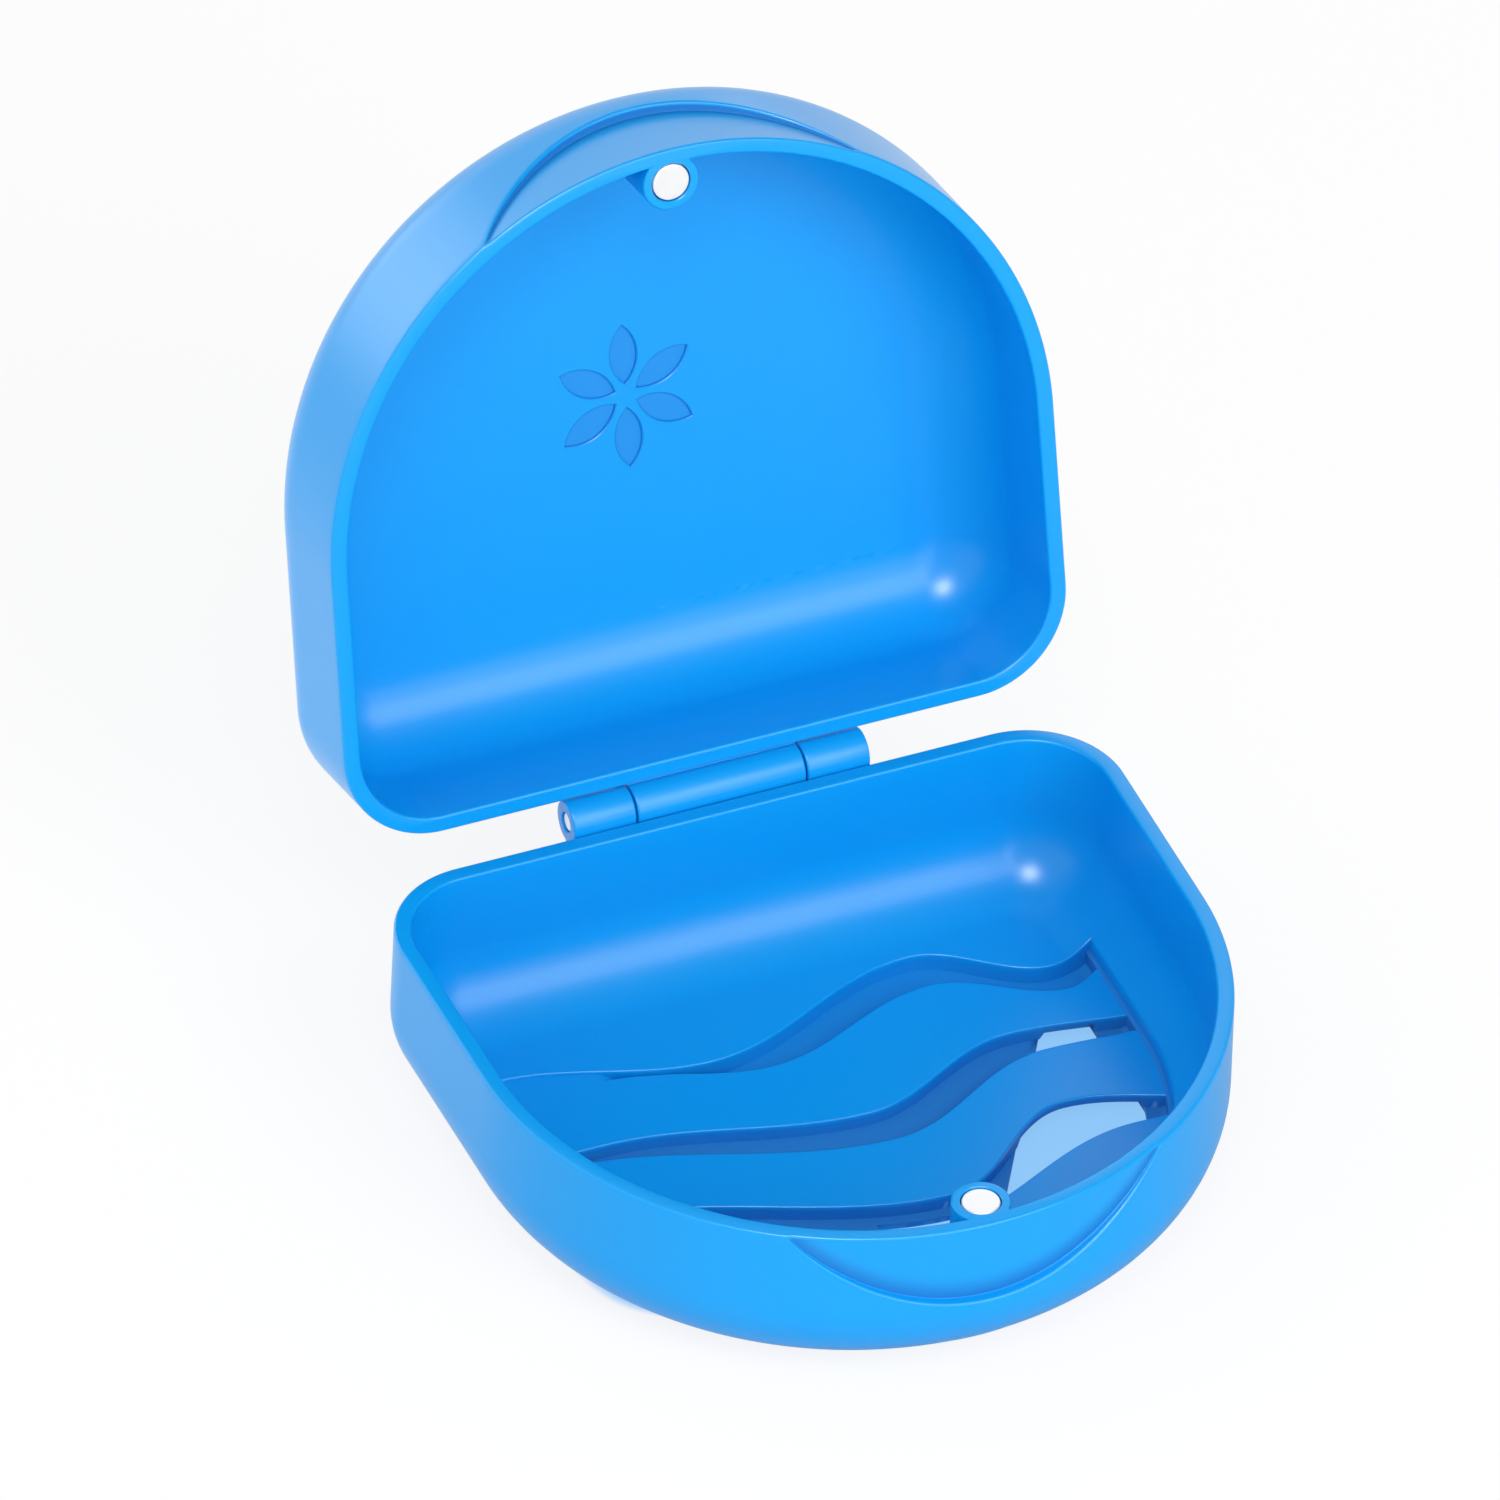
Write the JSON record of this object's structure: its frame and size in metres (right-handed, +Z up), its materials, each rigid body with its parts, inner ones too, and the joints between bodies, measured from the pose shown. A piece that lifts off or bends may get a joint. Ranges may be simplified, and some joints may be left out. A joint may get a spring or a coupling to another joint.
{
  "type": "orthodontic retainer case",
  "caption": "Clamshell orthodontic retainer case: two rounded D-shaped plastic bowls on a pinned rear hinge, with a magnetic catch, crescent thumb notches and a wavy vented floor.",
  "frame": {"origin": "on the flat underside of the base, on the middle plane, halfway between the base's front edge and its back edge", "axes": "+Z up, X along the hinge pin, +Y from the thumb notch towards the hinge; the rest pose has the lid standing open as pictured"},
  "size_m": [0.08, 0.1078, 0.0911],
  "materials": {
    "blue_plastic": "satin to glossy moulded polypropylene, bright blue",
    "pin_steel": "drawn stainless wire, cut ends",
    "magnet_nickel": "nickel-plated disc magnet"
  },
  "bodies": {
    "base": {"base_shell": "blue_plastic", "hinge_pin": "pin_steel", "base_magnet": "magnet_nickel"},
    "lid": {"lid_shell": "blue_plastic", "lid_magnet": "magnet_nickel"}
  },
  "joints": [
    {"name": "lid_hinge", "type": "hinge", "parent": "base", "child": "lid", "pos_m": [0, 0.0379, 0.0201], "axis": [-1, 0, 0], "range_deg": [-104, 76]}
  ]
}
